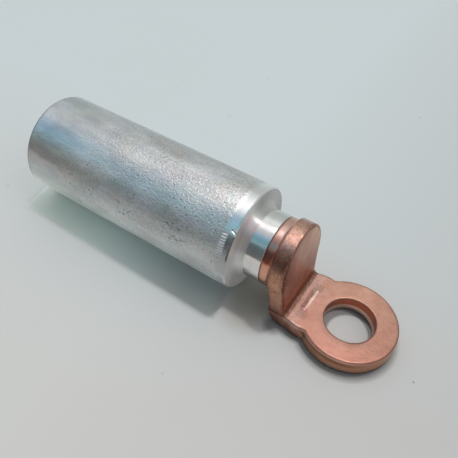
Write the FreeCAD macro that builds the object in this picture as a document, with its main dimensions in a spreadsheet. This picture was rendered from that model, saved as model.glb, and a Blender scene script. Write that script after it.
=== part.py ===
import FreeCAD, Part
import math
import os
import Sketcher

# Bimetallic cable lug: a turned aluminium barrel, friction-welded to a forged and turned copper palm.
# +X runs from the barrel to the palm's tip, +Z up out of the stud hole, lengths in millimetres.
# The origin is the centre of the stud hole on the palm's underside, the face that meets the busbar.

os.makedirs("parts", exist_ok=True)
doc = FreeCAD.newDocument("cable_lug")

sizes = {
    # Barrel
    "barrel_diameter": 37,
    "barrel_length": 88.3,
    "cable_bore_diameter": 26,
    "cable_bore_depth": 74,
    "drill_point_angle": 118,
    "mouth_inner_chamfer": 1.2,
    "mouth_outer_chamfer": 0.8,
    "front_edge_chamfer": 0.5,
    # Neck on both sides of the weld
    "neck_diameter": 24.2,
    "neck_length": 8.7,
    "neck_root_radius": 2.4,
    "collar_length": 3.4,
    "collar_root_chamfer": 0.4,
    "weld_to_stud": 29.5,
    "axis_height": 21.1,
    # Copper head, bent up from the palm and leaning back a little
    "head_face_to_stud": 18.9,
    "head_lean_angle": 4.2,
    "head_thickness": 5.5,
    "head_diameter": 26.6,
    "head_side_taper": 1.4,
    "shoulder_step": 0.9,
    "bend_inner_radius": 1.2,
    "bend_outer_radius": 6.5,
    # Palm
    "palm_thickness": 6,
    "eye_diameter": 32.5,
    "stud_hole_diameter": 17,
    "stud_hole_chamfer": 0.2,
    "waist_run": 1.9,
    "waist_radius": 3,
    "strip_bulge": 0.65,
    "strip_side_radius": 10,
    "notch_radius": 1,
    "edge_round": 0.6,
    # Lip that the coining punch raises across the strip
    "head_face_to_lip": 4.5,
    "lip_rear_run": 1.5,
    "lip_front_run": 0.7,
    "lip_height": 0.3,
    "lip_length": 11,
    "lip_offset": 0.9,
}
sheet = doc.addObject("Spreadsheet::Sheet", "sizes")
for row, (name, number) in enumerate(sizes.items(), start=1):
    sheet.set("A%d" % row, name)
    sheet.set("B%d" % row, str(number))
    sheet.setAlias("B%d" % row, name)
doc.recompute()


def value(expression):
    """Number that an expression over the sheet gives, angles in radians."""
    result = sheet.evalExpression(expression)
    if isinstance(result, FreeCAD.Units.Quantity):
        return math.radians(result.Value) if result.Unit == FreeCAD.Units.Angle else result.Value
    return float(result)


def point(along, up):
    """Sketch point from two expressions."""
    return FreeCAD.Vector(value(along), value(up), 0)


def new_body(name):
    """Empty body that gives its node its name."""
    body = doc.addObject("PartDesign::Body", name)
    body.Label = name
    return body


def new_sketch(body, name, role, offset=None):
    """Sketch on one of the body's own origin planes, moved along the plane's normal if asked."""
    sketch = body.newObject("Sketcher::SketchObject", name)
    planes = [item for item in body.Origin.OriginFeatures if item.Role == role]
    sketch.AttachmentSupport = [(planes[0], "")]
    sketch.MapMode = "FlatFace"
    if offset:
        sketch.setExpression(".AttachmentOffset.Base.z", offset)
    return sketch


def outline(sketch, corners, closed=True):
    """Straight lines through the corners. Level and upright lines are held so."""
    first = sketch.GeometryCount
    count = len(corners) if closed else len(corners) - 1
    for index in range(count):
        start = corners[index]
        end = corners[(index + 1) % len(corners)]
        sketch.addGeometry(Part.LineSegment(start, end), False)
        if abs(start.x - end.x) < 1e-6:
            sketch.addConstraint(Sketcher.Constraint("Vertical", first + index))
        elif abs(start.y - end.y) < 1e-6:
            sketch.addConstraint(Sketcher.Constraint("Horizontal", first + index))
        if index > 0:
            join(sketch, first + index - 1, 2, first + index, 1)
    if closed:
        join(sketch, first + count - 1, 2, first, 1)
    return first


def join(sketch, line, end, other, other_end):
    """Hold two end points together."""
    sketch.addConstraint(Sketcher.Constraint("Coincident", line, end, other, other_end))


def dimension(sketch, kind, name, ends, expression):
    """Named dimension that follows the sheet."""
    index = sketch.addConstraint(Sketcher.Constraint(kind, *ends, value(expression)))
    sketch.renameConstraint(index, name)
    sketch.setExpression("Constraints." + name, expression)


def hold_on_axis(sketch, line, end, upright):
    """Hold a point on the sketch's upright axis, or on its level one."""
    sketch.addConstraint(Sketcher.Constraint("PointOnObject", line, end, -2 if upright else -1))


def hold_mirrored(sketch, line, end, other, other_end, upright):
    """Hold two points alike on both sides of the sketch's upright axis, or of its level one."""
    axis = -2 if upright else -1
    sketch.addConstraint(Sketcher.Constraint("Symmetric", line, end, other, other_end, axis))


def turn(place, about):
    """Angle of the direction from one sketch point to another."""
    return math.atan2(place.y - about.y, place.x - about.x)


def arc_between(about, start, end):
    """Counterclockwise arc about a centre from one point to another."""
    circle = Part.Circle(about, FreeCAD.Vector(0, 0, 1), (start - about).Length)
    return Part.ArcOfCircle(circle, turn(start, about), turn(end, about))


def tangent(sketch, line, end, other, other_end):
    """Let one curve run smoothly on into another at their shared end."""
    sketch.addConstraint(Sketcher.Constraint("Tangent", line, end, other, other_end))


def edges(feature, test):
    """Names of the feature's edges that pass the test."""
    found = []
    for index, edge in enumerate(feature.Shape.Edges):
        if test(edge):
            found.append("Edge%d" % (index + 1))
    return found


def near(number, other):
    return abs(number - other) < 1e-4


def round_edge(across, radius):
    """Test for a full circle about the barrel's axis at one place along it."""
    def test(edge):
        curve = edge.Curve
        if curve.TypeId != "Part::GeomCircle":
            return False
        return near(curve.Radius, radius) and near(curve.Center.x, across)
    return test


def dress(body, kind, name, feature, found, size_name):
    """Fillet or chamfer on the edges found, sized from the sheet."""
    item = body.newObject("PartDesign::" + kind, name)
    item.Base = (feature, found)
    item.setExpression("Radius" if kind == "Fillet" else "Size", "sizes." + size_name)
    doc.recompute()
    return item


ORIGIN = (-1, 1)

# Aluminium barrel: its own origin is the weld's centre, and it runs back from there
barrel = new_body("aluminium_barrel")
barrel.setExpression(".Placement.Base.x", "-sizes.weld_to_stud")
barrel.setExpression(".Placement.Base.z", "sizes.axis_height")

turned = new_sketch(barrel, "turned_outline", "XZ_Plane")
to_mouth = "sizes.neck_length + sizes.barrel_length"
base = outline(turned, [
    point("0", "0"),
    point("0", "sizes.neck_diameter / 2"),
    point("-sizes.neck_length", "sizes.neck_diameter / 2"),
    point("-sizes.neck_length", "sizes.barrel_diameter / 2"),
    point("-(" + to_mouth + ")", "sizes.barrel_diameter / 2"),
    point("-(" + to_mouth + ")", "0"),
])
join(turned, base, 1, *ORIGIN)
dimension(turned, "DistanceY", "neck_radius", (base, 1, base, 2), "sizes.neck_diameter / 2")
dimension(turned, "DistanceX", "neck", (base + 1, 2, base + 1, 1), "sizes.neck_length")
dimension(turned, "DistanceY", "barrel_radius", (base + 4, 2, base + 4, 1), "sizes.barrel_diameter / 2")
dimension(turned, "DistanceX", "barrel", (base + 3, 2, base + 3, 1), "sizes.barrel_length")
turned_solid = barrel.newObject("PartDesign::Revolution", "turned_solid")
turned_solid.Profile = turned
turned_solid.ReferenceAxis = (turned, ["H_Axis"])
turned_solid.Angle = 360
doc.recompute()

drilled = new_sketch(barrel, "drill_outline", "XZ_Plane")
tip = "sizes.cable_bore_diameter / 2 / tan(sizes.drill_point_angle * 1deg / 2)"
base = outline(drilled, [
    point("-(" + to_mouth + ")", "0"),
    point("-(" + to_mouth + ")", "sizes.cable_bore_diameter / 2"),
    point("-(" + to_mouth + ") + sizes.cable_bore_depth", "sizes.cable_bore_diameter / 2"),
    point("-(" + to_mouth + ") + sizes.cable_bore_depth + " + tip, "0"),
])
hold_on_axis(drilled, base, 1, upright=False)
dimension(drilled, "DistanceX", "mouth", (base, 1, *ORIGIN), to_mouth)
dimension(drilled, "DistanceY", "bore_radius", (base, 1, base, 2), "sizes.cable_bore_diameter / 2")
dimension(drilled, "DistanceX", "depth", (base + 1, 1, base + 1, 2), "sizes.cable_bore_depth")
dimension(drilled, "DistanceX", "tip", (base + 2, 1, base + 2, 2), tip)
cable_bore = barrel.newObject("PartDesign::Groove", "cable_bore")
cable_bore.Profile = drilled
cable_bore.ReferenceAxis = (drilled, ["H_Axis"])
cable_bore.Angle = 360
doc.recompute()

face = -value("sizes.neck_length")
mouth = -value(to_mouth)
neck_radius = value("sizes.neck_diameter / 2")
barrel_radius = value("sizes.barrel_diameter / 2")
bore_radius = value("sizes.cable_bore_diameter / 2")
found = edges(cable_bore, round_edge(face, neck_radius))
rooted = dress(barrel, "Fillet", "neck_root", cable_bore, found, "neck_root_radius")
found = edges(rooted, round_edge(face, barrel_radius))
fronted = dress(barrel, "Chamfer", "front_edge", rooted, found, "front_edge_chamfer")
found = edges(fronted, round_edge(mouth, barrel_radius))
backed = dress(barrel, "Chamfer", "mouth_outer_edge", fronted, found, "mouth_outer_chamfer")
found = edges(backed, round_edge(mouth, bore_radius))
dress(barrel, "Chamfer", "mouth_inner_edge", backed, found, "mouth_inner_chamfer")

# Copper palm: a thick plate bent up into the head
palm = new_body("copper_palm")
bent = new_sketch(palm, "plate_outline", "XZ_Plane")
lean = "sizes.head_lean_angle * 1deg"
rise = "sizes.axis_height + sizes.head_diameter"
front_x = "-sizes.head_face_to_stud - (" + rise + " - sizes.palm_thickness) * tan(" + lean + ")"
rear_x = ("-sizes.head_face_to_stud - sizes.head_thickness / cos(" + lean + ")"
          " + sizes.palm_thickness * tan(" + lean + ")")
base = outline(bent, [
    point("sizes.eye_diameter / 2", "0"),
    point(rear_x, "0"),
    point(front_x + " - sizes.head_thickness * cos(" + lean + ")",
          rise + " - sizes.head_thickness * sin(" + lean + ")"),
    point(front_x, rise),
    point("-sizes.head_face_to_stud", "sizes.palm_thickness"),
    point("sizes.eye_diameter / 2", "sizes.palm_thickness"),
])
hold_on_axis(bent, base, 1, upright=False)
bent.addConstraint(Sketcher.Constraint("Parallel", base + 1, base + 3))
bent.addConstraint(Sketcher.Constraint("Perpendicular", base + 2, base + 3))
dimension(bent, "DistanceX", "tip", (*ORIGIN, base, 1), "sizes.eye_diameter / 2")
dimension(bent, "DistanceY", "thickness", (base + 5, 2, base + 5, 1), "sizes.palm_thickness")
dimension(bent, "DistanceX", "head_face", (base + 4, 1, *ORIGIN), "sizes.head_face_to_stud")
dimension(bent, "Angle", "lean", (base + 3,), "(sizes.head_lean_angle - 90) * 1deg")
dimension(bent, "Distance", "head_thickness", (base + 2,), "sizes.head_thickness")
dimension(bent, "DistanceY", "rise", (*ORIGIN, base + 3, 1), rise)
plate = palm.newObject("PartDesign::Pad", "bent_plate")
plate.Profile = bent
plate.Midplane = True
plate.setExpression("Length", "sizes.eye_diameter + sizes.head_diameter")
doc.recompute()


def crease(height):
    """Test for the straight edge across the plate at the bend, at one height."""
    def test(edge):
        box = edge.BoundBox
        level = near(box.ZMin, height) and near(box.ZMax, height)
        return level and box.XLength < 1e-4 and box.YLength > 1 and box.XMax < 0
    return test


found = edges(plate, crease(0))
outer_bend = dress(palm, "Fillet", "outer_bend", plate, found, "bend_outer_radius")
found = edges(outer_bend, crease(value("sizes.palm_thickness")))
inner_bend = dress(palm, "Fillet", "inner_bend", outer_bend, found, "bend_inner_radius")

# Blank of the collar, forged on the head's back
blank = new_sketch(palm, "blank_outline", "YZ_Plane", "-sizes.weld_to_stud")
shoulder_radius = "sizes.neck_diameter / 2 + sizes.shoulder_step"
axis_point = point("0", "sizes.axis_height")
blank.addGeometry(Part.Circle(axis_point, FreeCAD.Vector(0, 0, 1), value(shoulder_radius)), False)
hold_on_axis(blank, 0, 3, upright=True)
dimension(blank, "DistanceY", "axis", (*ORIGIN, 0, 3), "sizes.axis_height")
dimension(blank, "Radius", "shoulder", (0,), shoulder_radius)
collar = palm.newObject("PartDesign::Pad", "collar_blank")
collar.Profile = blank
collar.setExpression("Length", "sizes.weld_to_stud - sizes.head_face_to_stud - sizes.head_thickness / 2")
doc.recompute()

# Turned collar, with the flat shoulder that also faces off the head's top
lathe = new_sketch(palm, "lathe_outline", "XZ_Plane")
clear = "sizes.head_thickness"
swing = "2 * sizes.head_diameter"
shoulder = "-sizes.weld_to_stud + sizes.collar_length"
base = outline(lathe, [
    point("-sizes.weld_to_stud - " + clear, "sizes.axis_height + sizes.neck_diameter / 2"),
    point(shoulder, "sizes.axis_height + sizes.neck_diameter / 2"),
    point(shoulder, "sizes.axis_height + " + swing),
    point("-sizes.weld_to_stud - " + clear, "sizes.axis_height + " + swing),
])
centre = lathe.addGeometry(Part.LineSegment(
    point("-sizes.weld_to_stud - " + clear, "sizes.axis_height"),
    point("-sizes.weld_to_stud", "sizes.axis_height")), True)
lathe.addConstraint(Sketcher.Constraint("Horizontal", centre))
dimension(lathe, "DistanceY", "axis", (*ORIGIN, centre, 2), "sizes.axis_height")
dimension(lathe, "DistanceX", "weld", (centre, 2, *ORIGIN), "sizes.weld_to_stud")
dimension(lathe, "DistanceX", "clear", (centre, 1, centre, 2), clear)
lathe.addConstraint(Sketcher.Constraint("Vertical", centre, 1, base, 1))
dimension(lathe, "DistanceY", "neck_radius", (centre, 2, base, 2), "sizes.neck_diameter / 2")
dimension(lathe, "DistanceX", "collar", (centre, 2, base, 2), "sizes.collar_length")
dimension(lathe, "DistanceY", "swing", (centre, 2, base + 2, 1), swing)
turning = palm.newObject("PartDesign::Groove", "turned_collar")
turning.Profile = lathe
turning.ReferenceAxis = (lathe, ["Axis0"])
turning.Angle = 360
doc.recompute()

# Head trimmed to a round top on hollow sides that run down to the waist
trim = new_sketch(palm, "head_trim", "YZ_Plane", "-sizes.head_face_to_stud")
half_base = "sizes.head_diameter / 2 - sizes.head_side_taper"
foot = "sizes.palm_thickness + 2 * sizes.bend_inner_radius"
foot_drop = value("sizes.axis_height - (" + foot + ")")
waist = value(half_base)
head_radius = value("sizes.head_diameter / 2")
hollow = (foot_drop ** 2 / (head_radius - waist) - head_radius - waist) / 2
right_hub = FreeCAD.Vector(waist + hollow, value(foot), 0)
left_hub = FreeCAD.Vector(-waist - hollow, value(foot), 0)
right_touch = axis_point + (right_hub - axis_point).normalize() * head_radius
left_touch = axis_point + (left_hub - axis_point).normalize() * head_radius
base = outline(trim, [
    point("-(" + half_base + ")", foot),
    point("-(" + half_base + ")", "-sizes.palm_thickness"),
    point(half_base, "-sizes.palm_thickness"),
    point(half_base, foot),
], closed=False)
top = trim.addGeometry(arc_between(axis_point, right_touch, left_touch), False)
right_side = trim.addGeometry(arc_between(right_hub, right_touch, point(half_base, foot)), False)
left_side = trim.addGeometry(arc_between(left_hub, point("-(" + half_base + ")", foot), left_touch), False)
tangent(trim, base + 2, 2, right_side, 2)
tangent(trim, right_side, 1, top, 1)
tangent(trim, top, 2, left_side, 2)
tangent(trim, left_side, 1, base, 1)
hold_on_axis(trim, top, 3, upright=True)
hold_mirrored(trim, base, 1, base + 2, 2, upright=True)
dimension(trim, "DistanceY", "axis", (*ORIGIN, top, 3), "sizes.axis_height")
dimension(trim, "Radius", "head", (top,), "sizes.head_diameter / 2")
dimension(trim, "DistanceX", "base_width", (base + 1, 1, base + 1, 2), "2 * (" + half_base + ")")
dimension(trim, "DistanceY", "above", (*ORIGIN, base + 2, 2), foot)
dimension(trim, "DistanceY", "below", (base + 2, 1, *ORIGIN), "sizes.palm_thickness")
wide = "sizes.eye_diameter + sizes.head_diameter"
high = "sizes.axis_height + 2 * sizes.head_diameter"
frame = outline(trim, [
    point("-(" + wide + ")", "-2 * sizes.palm_thickness"),
    point(wide, "-2 * sizes.palm_thickness"),
    point(wide, high),
    point("-(" + wide + ")", high),
])
dimension(trim, "DistanceX", "wide", (*ORIGIN, frame, 2), wide)
dimension(trim, "DistanceX", "wide_too", (frame, 1, *ORIGIN), wide)
dimension(trim, "DistanceY", "high", (*ORIGIN, frame + 1, 2), high)
dimension(trim, "DistanceY", "low", (frame, 2, *ORIGIN), "2 * sizes.palm_thickness")
head = palm.newObject("PartDesign::Pocket", "head_shape")
head.Profile = trim
head.Type = "ThroughAll"
doc.recompute()

# Palm trimmed to the strip and the round eye: waist, bulging side, small notch and eye run on smoothly
blanked = new_sketch(palm, "palm_trim", "XY_Plane")
eye_radius = value("sizes.eye_diameter / 2")
side_radius = value("sizes.strip_side_radius")
waist_radius = value("sizes.waist_radius")
notch_radius = value("sizes.notch_radius")
centre = FreeCAD.Vector(0, 0, 0)
hub_y = waist + value("sizes.strip_bulge") - side_radius
root_x = -value("sizes.head_face_to_stud - sizes.waist_run")
hub = FreeCAD.Vector(root_x + (side_radius ** 2 - (waist - hub_y) ** 2) ** 0.5, hub_y, 0)

# The waist's round lies one waist radius off the straight side and outside the bulging side
bend_y = waist + waist_radius
bend_x = hub.x - ((side_radius + waist_radius) ** 2 - (bend_y - hub_y) ** 2) ** 0.5
bend_hub = FreeCAD.Vector(bend_x, bend_y, 0)
leave = FreeCAD.Vector(bend_x, waist, 0)
meet = hub + (bend_hub - hub).normalize() * side_radius

# The notch's centre lies one notch radius outside both the eye and the bulging side
reach_eye = eye_radius + notch_radius
reach_side = side_radius + notch_radius
apart = hub.Length
along = (reach_eye ** 2 - reach_side ** 2 + apart ** 2) / (2 * apart)
toward = FreeCAD.Vector(hub.x, hub.y, 0) * (1 / apart)
across = FreeCAD.Vector(-toward.y, toward.x, 0) * (reach_eye ** 2 - along ** 2) ** 0.5
notch = max(toward * along + across, toward * along - across, key=lambda place: place.y)
on_eye = notch * (eye_radius / reach_eye)
on_side = hub + (notch - hub) * (side_radius / reach_side)


def mirrored(place):
    return FreeCAD.Vector(place.x, -place.y, 0)


def palm_side(flip):
    """Waist line, waist round, bulging side and notch of one side of the palm, from the head to the eye."""
    place = mirrored if flip else FreeCAD.Vector
    corner = place(point("-sizes.head_face_to_stud", half_base))
    line = blanked.addGeometry(Part.LineSegment(corner, place(leave)), False)
    blanked.addConstraint(Sketcher.Constraint("Horizontal", line))
    rounds = []
    for about, start, end, turned_left in (
            (bend_hub, leave, meet, True), (hub, meet, on_side, False), (notch, on_side, on_eye, True)):
        first, last = (start, end) if turned_left != flip else (end, start)
        rounds.append(blanked.addGeometry(arc_between(place(about), place(first), place(last)), False))
    entry = 2 if flip else 1
    tangent(blanked, line, 2, rounds[0], entry)
    tangent(blanked, rounds[0], 3 - entry, rounds[1], 3 - entry)
    tangent(blanked, rounds[1], entry, rounds[2], entry)
    return line, rounds, 3 - entry


far_line, far_rounds, far_end = palm_side(False)
near_line, near_rounds, near_end = palm_side(True)
eye = blanked.addGeometry(arc_between(centre, mirrored(on_eye), on_eye), False)
join(blanked, eye, 3, *ORIGIN)
tangent(blanked, eye, 2, far_rounds[2], far_end)
tangent(blanked, eye, 1, near_rounds[2], near_end)
base = outline(blanked, [
    point("-sizes.head_face_to_stud", half_base),
    point("-sizes.head_face_to_stud", wide),
    point("sizes.eye_diameter", wide),
    point("sizes.eye_diameter", "-(" + wide + ")"),
    point("-sizes.head_face_to_stud", "-(" + wide + ")"),
    point("-sizes.head_face_to_stud", "-(" + half_base + ")"),
], closed=False)
join(blanked, far_line, 1, base, 1)
join(blanked, near_line, 1, base + 4, 2)
hold_mirrored(blanked, far_line, 1, near_line, 1, upright=False)
hold_mirrored(blanked, far_rounds[1], 3, near_rounds[1], 3, upright=False)
for far, near_one in zip(far_rounds, near_rounds):
    blanked.addConstraint(Sketcher.Constraint("Equal", far, near_one))
dimension(blanked, "Radius", "eye", (eye,), "sizes.eye_diameter / 2")
dimension(blanked, "Radius", "waist", (far_rounds[0],), "sizes.waist_radius")
dimension(blanked, "Radius", "side", (far_rounds[1],), "sizes.strip_side_radius")
dimension(blanked, "Radius", "notch", (far_rounds[2],), "sizes.notch_radius")
hub_height = half_base + " + sizes.strip_bulge - sizes.strip_side_radius"
bulge_run = "sqrt(sizes.strip_side_radius^2 - (sizes.strip_side_radius - sizes.strip_bulge)^2)"
dimension(blanked, "DistanceY", "hub_height", (*ORIGIN, far_rounds[1], 3), hub_height)
hub_to_stud = "sizes.head_face_to_stud - sizes.waist_run - " + bulge_run
dimension(blanked, "DistanceX", "hub_to_stud", (far_rounds[1], 3, *ORIGIN), hub_to_stud)
dimension(blanked, "DistanceY", "strip", (near_line, 1, far_line, 1), "2 * (" + half_base + ")")
dimension(blanked, "DistanceX", "head_face", (base, 1, *ORIGIN), "sizes.head_face_to_stud")
dimension(blanked, "DistanceY", "wide", (*ORIGIN, base, 2), wide)
dimension(blanked, "DistanceY", "wide_too", (base + 3, 1, *ORIGIN), wide)
dimension(blanked, "DistanceX", "long", (*ORIGIN, base + 1, 2), "sizes.eye_diameter")
strip = palm.newObject("PartDesign::Pocket", "palm_shape")
strip.Profile = blanked
strip.Type = "ThroughAll"
strip.Reversed = True
doc.recompute()

# Stud hole
drill = new_sketch(palm, "stud_hole_outline", "XY_Plane")
hole_radius = value("sizes.stud_hole_diameter / 2")
drill.addGeometry(Part.Circle(centre, FreeCAD.Vector(0, 0, 1), hole_radius), False)
join(drill, 0, 3, *ORIGIN)
dimension(drill, "Radius", "stud_hole", (0,), "sizes.stud_hole_diameter / 2")
stud_hole = palm.newObject("PartDesign::Pocket", "stud_hole")
stud_hole.Profile = drill
stud_hole.Type = "ThroughAll"
stud_hole.Reversed = True
doc.recompute()

# Lip across the strip
raised = new_sketch(palm, "lip_outline", "XZ_Plane", "sizes.lip_offset")
crest = "(sizes.head_face_to_stud - sizes.head_face_to_lip)"
base = outline(raised, [
    point("-" + crest + " - sizes.lip_rear_run", "sizes.palm_thickness"),
    point("-" + crest, "sizes.palm_thickness + sizes.lip_height"),
    point("-" + crest + " + sizes.lip_front_run", "sizes.palm_thickness"),
])
dimension(raised, "DistanceX", "crest", (base, 2, *ORIGIN), crest)
dimension(raised, "DistanceX", "rear_run", (base, 1, base, 2), "sizes.lip_rear_run")
dimension(raised, "DistanceX", "front_run", (base + 1, 1, base + 1, 2), "sizes.lip_front_run")
dimension(raised, "DistanceY", "top_face", (*ORIGIN, base, 1), "sizes.palm_thickness")
dimension(raised, "DistanceY", "height", (base, 1, base, 2), "sizes.lip_height")
lip = palm.newObject("PartDesign::Pad", "lip")
lip.Profile = raised
lip.Midplane = True
lip.setExpression("Length", "sizes.lip_length")
doc.recompute()

found = edges(lip, round_edge(value(shoulder), value("sizes.neck_diameter / 2")))
collar_root = dress(palm, "Chamfer", "collar_root", lip, found, "collar_root_chamfer")


def hole_rim(edge):
    """Test for the stud hole's top edge."""
    curve = edge.Curve
    if curve.TypeId != "Part::GeomCircle":
        return False
    return near(curve.Radius, hole_radius) and near(curve.Center.z, value("sizes.palm_thickness"))


found = edges(collar_root, hole_rim)
eased = dress(palm, "Chamfer", "stud_hole_edge", collar_root, found, "stud_hole_chamfer")


def is_skin(face):
    """Test for the head's front, the inside of the bend and the palm's top."""
    surface = face.Surface
    if surface.TypeId == "Part::GeomCylinder":
        return near(surface.Radius, value("sizes.bend_inner_radius")) and near(abs(surface.Axis.y), 1)
    if surface.TypeId != "Part::GeomPlane":
        return False
    facing = face.normalAt(0, 0)
    front = FreeCAD.Vector(math.cos(value(lean)), 0, math.sin(value(lean)))
    return near(facing.z, 1) or near(facing.dot(front), 1)


rims = [face.OuterWire.Edges for face in eased.Shape.Faces if is_skin(face)]


def outer_border(edge):
    """Test for an edge that runs round those faces and isn't shared by two of them."""
    return sum(1 for rim in rims if any(edge.isSame(other) for other in rim)) == 1


found = edges(eased, outer_border)
dress(palm, "Fillet", "skin_edges", eased, found, "edge_round")

doc.recompute()
for item in doc.Objects:
    if "Invalid" in item.State or "Error" in item.State:
        raise ValueError("failed to compute: " + item.Label)
for body in (barrel, palm):
    if body.Shape.isNull() or not body.Shape.isValid() or len(body.Shape.Solids) != 1:
        raise ValueError("not one sound solid: " + body.Label)
    cuts = [item for item in body.Group if item.TypeId in ("PartDesign::Pocket", "PartDesign::Groove")]
    for item in cuts:
        if item.Shape.Volume > item.BaseFeature.Shape.Volume - 1:
            raise ValueError("cuts nothing: " + item.Label)
    body.Shape.exportStep("parts/%s.step" % body.Label)
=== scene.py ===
import math
from types import SimpleNamespace

import bpy
import bmesh
import numpy as np
from mathutils import Matrix, Vector, noise


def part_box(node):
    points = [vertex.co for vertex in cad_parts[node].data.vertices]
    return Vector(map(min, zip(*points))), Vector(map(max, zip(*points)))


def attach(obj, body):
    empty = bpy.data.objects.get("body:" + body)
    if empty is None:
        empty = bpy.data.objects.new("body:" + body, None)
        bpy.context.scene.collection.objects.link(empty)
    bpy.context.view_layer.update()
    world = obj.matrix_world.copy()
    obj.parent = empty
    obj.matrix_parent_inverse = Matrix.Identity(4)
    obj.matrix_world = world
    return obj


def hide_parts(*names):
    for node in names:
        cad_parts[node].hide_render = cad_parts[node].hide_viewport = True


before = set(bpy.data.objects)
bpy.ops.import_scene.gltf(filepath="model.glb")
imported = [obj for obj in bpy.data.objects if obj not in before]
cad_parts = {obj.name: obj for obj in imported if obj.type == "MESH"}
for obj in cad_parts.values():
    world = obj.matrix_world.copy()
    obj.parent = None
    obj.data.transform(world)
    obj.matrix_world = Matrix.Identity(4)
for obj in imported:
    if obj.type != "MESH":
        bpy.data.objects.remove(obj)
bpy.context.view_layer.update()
scene = bpy.context.scene
MM = 0.001


# Sizes and places in millimetres, from the stud hole's axis and the palm's underside

AXIS_Z = 21.1
BARREL_REAR = -126.5
WELD = -29.5
BARREL_RADIUS = 18.5
BARREL_FRONT = -38.2
FRONT_CHAMFER = 0.5
NECK_RADIUS = 12.1
ROOT_ROUND = 2.4
MOUTH_CHAMFER = 0.8
BORE_RADIUS = 13.0
BORE_CHAMFER = 1.2
BORE_END = -52.5
DRILL_POINT = 118
DRILL_TIP = round(BORE_END + BORE_RADIUS / math.tan(math.radians(DRILL_POINT / 2)), 2)

# The collar ends at the head's back. The head's front rises from the palm's top and leans back, in degrees.
COLLAR_END = -26.0
COLLAR_RADIUS = 12.6
PALM_TOP = 6.0
HEAD_FRONT = -18.9
HEAD_LEAN = 4.2

# Row of short strokes near the barrel's front edge, and one nick. Their places round it are angles.
# The shape of each is its lean and half width, both angles, and its depth.
STROKE_START = -42.4
STROKE_LENGTH = 2.1
FIRST_STROKE = 16.7
STROKE_PITCH = 3.15
STROKE_COUNT = 9
STROKE_SHAPE = (0.7, 1.2, 0.25)
NICK_START = -40.1
NICK_LENGTH = 2.0
NICK_ANGLE = 47.5
NICK_SHAPE = (-1.5, 1.5, 0.28)

# Low lip across the strip, beside the bend: its rear foot, the two edges of its crest and its front foot.
# Its patch of the palm's top is a middle and a reach, in x and in y.
LIP_ACROSS = (-15.9, -14.5, -14.3, -13.7)
LIP_HEIGHT = 0.28
LIP_MIDDLE = -0.4
LIP_REACH = 5.4
LIP_RUN_OUT = 2.2
LIP_PATCH = ((-15.0, 1.8), (-0.9, 6.2))

# Voxels of the palm's even mesh
VOXEL = 0.26


# Node helpers

class Graph:
    """Short calls for building a node tree. An input is a number, a colour or another node's socket."""

    def __init__(self, tree):
        self.tree = tree

    def node(self, kind, inputs=None, **settings):
        made = self.tree.nodes.new(kind)
        for key, setting in settings.items():
            setattr(made, key, setting)
        for key, value in (inputs or {}).items():
            if isinstance(value, bpy.types.NodeSocket):
                self.tree.links.new(value, made.inputs[key])
            else:
                made.inputs[key].default_value = value
        return made

    def math(self, operation, a, b=0.0, c=0.0):
        return self.node("ShaderNodeMath", {0: a, 1: b, 2: c}, operation=operation).outputs[0]

    def product(self, first, *others):
        for other in others:
            first = self.math("MULTIPLY", first, other)
        return first

    def add(self, value, mask, amount):
        """Value raised by the amount where the mask is 1."""
        return self.math("MULTIPLY_ADD", mask, amount, value)

    def remap(self, value, low, high, to_low=0.0, to_high=1.0, smooth=False):
        kind = "SMOOTHSTEP" if smooth else "LINEAR"
        return self.node("ShaderNodeMapRange", {
            "Value": value, "From Min": low, "From Max": high, "To Min": to_low, "To Max": to_high,
        }, interpolation_type=kind, clamp=True).outputs["Result"]

    def within(self, value, low, high, fade):
        """1 between low and high, fading to 0 outside them."""
        return self.product(self.remap(value, low - fade, low), self.remap(value, high + fade, high))

    def stretch(self, vector, scale):
        return self.node("ShaderNodeMapping", {"Vector": vector, "Scale": scale}).outputs[0]

    def noise(self, vector, scale, detail=3.0, rough=0.5, distortion=0.0):
        return self.node("ShaderNodeTexNoise", {
            "Vector": vector, "Scale": scale, "Detail": detail, "Roughness": rough, "Distortion": distortion,
        }).outputs["Fac"]

    def cells(self, vector, scale):
        return self.node("ShaderNodeTexVoronoi", {"Vector": vector, "Scale": scale}).outputs["Distance"]

    def attribute(self, name):
        return self.node("ShaderNodeAttribute", attribute_name=name).outputs["Fac"]

    def ramp(self, value, stops):
        made = self.node("ShaderNodeValToRGB", {"Fac": value})
        band = made.color_ramp
        while len(band.elements) < len(stops):
            band.elements.new(0.5)
        for element, (place, colour) in zip(band.elements, stops):
            element.position = place
            element.color = (*colour, 1.0)
        return made.outputs["Color"]

    def blend(self, factor, a, b, mode="MIX"):
        made = self.node("ShaderNodeMix", data_type="RGBA", blend_type=mode)
        for socket, value in ((made.inputs[0], factor), (made.inputs[6], a), (made.inputs[7], b)):
            if isinstance(value, bpy.types.NodeSocket):
                self.tree.links.new(value, socket)
            elif isinstance(value, tuple):
                socket.default_value = (*value, 1.0)
            else:
                socket.default_value = value
        return made.outputs[2]

    def multiply(self, a, b):
        return self.blend(1.0, a, b, "MULTIPLY")

    def tint(self, mask, tone, colour):
        """Tone multiplied by the colour where the mask is 1."""
        return self.blend(mask, tone, self.multiply(tone, colour))

    def bump(self, height, distance, strength=1.0):
        inputs = {"Height": height, "Distance": distance, "Strength": strength}
        return self.node("ShaderNodeBump", inputs).outputs[0]


def new_material(name):
    material = bpy.data.materials.new(name)
    material.use_nodes = True
    material.node_tree.nodes.clear()
    return material, Graph(material.node_tree)


def close_material(g, inputs):
    """Principled shader with these inputs, joined to the output."""
    shader = g.node("ShaderNodeBsdfPrincipled", inputs)
    g.node("ShaderNodeOutputMaterial", {"Surface": shader.outputs[0]})


def glow(g, kind, output, tone):
    """Shader that gives off this light, joined to the output."""
    light = g.node(kind, {"Color": tone, "Strength": 1.0})
    g.node(output, {"Surface": light.outputs[0]})


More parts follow.
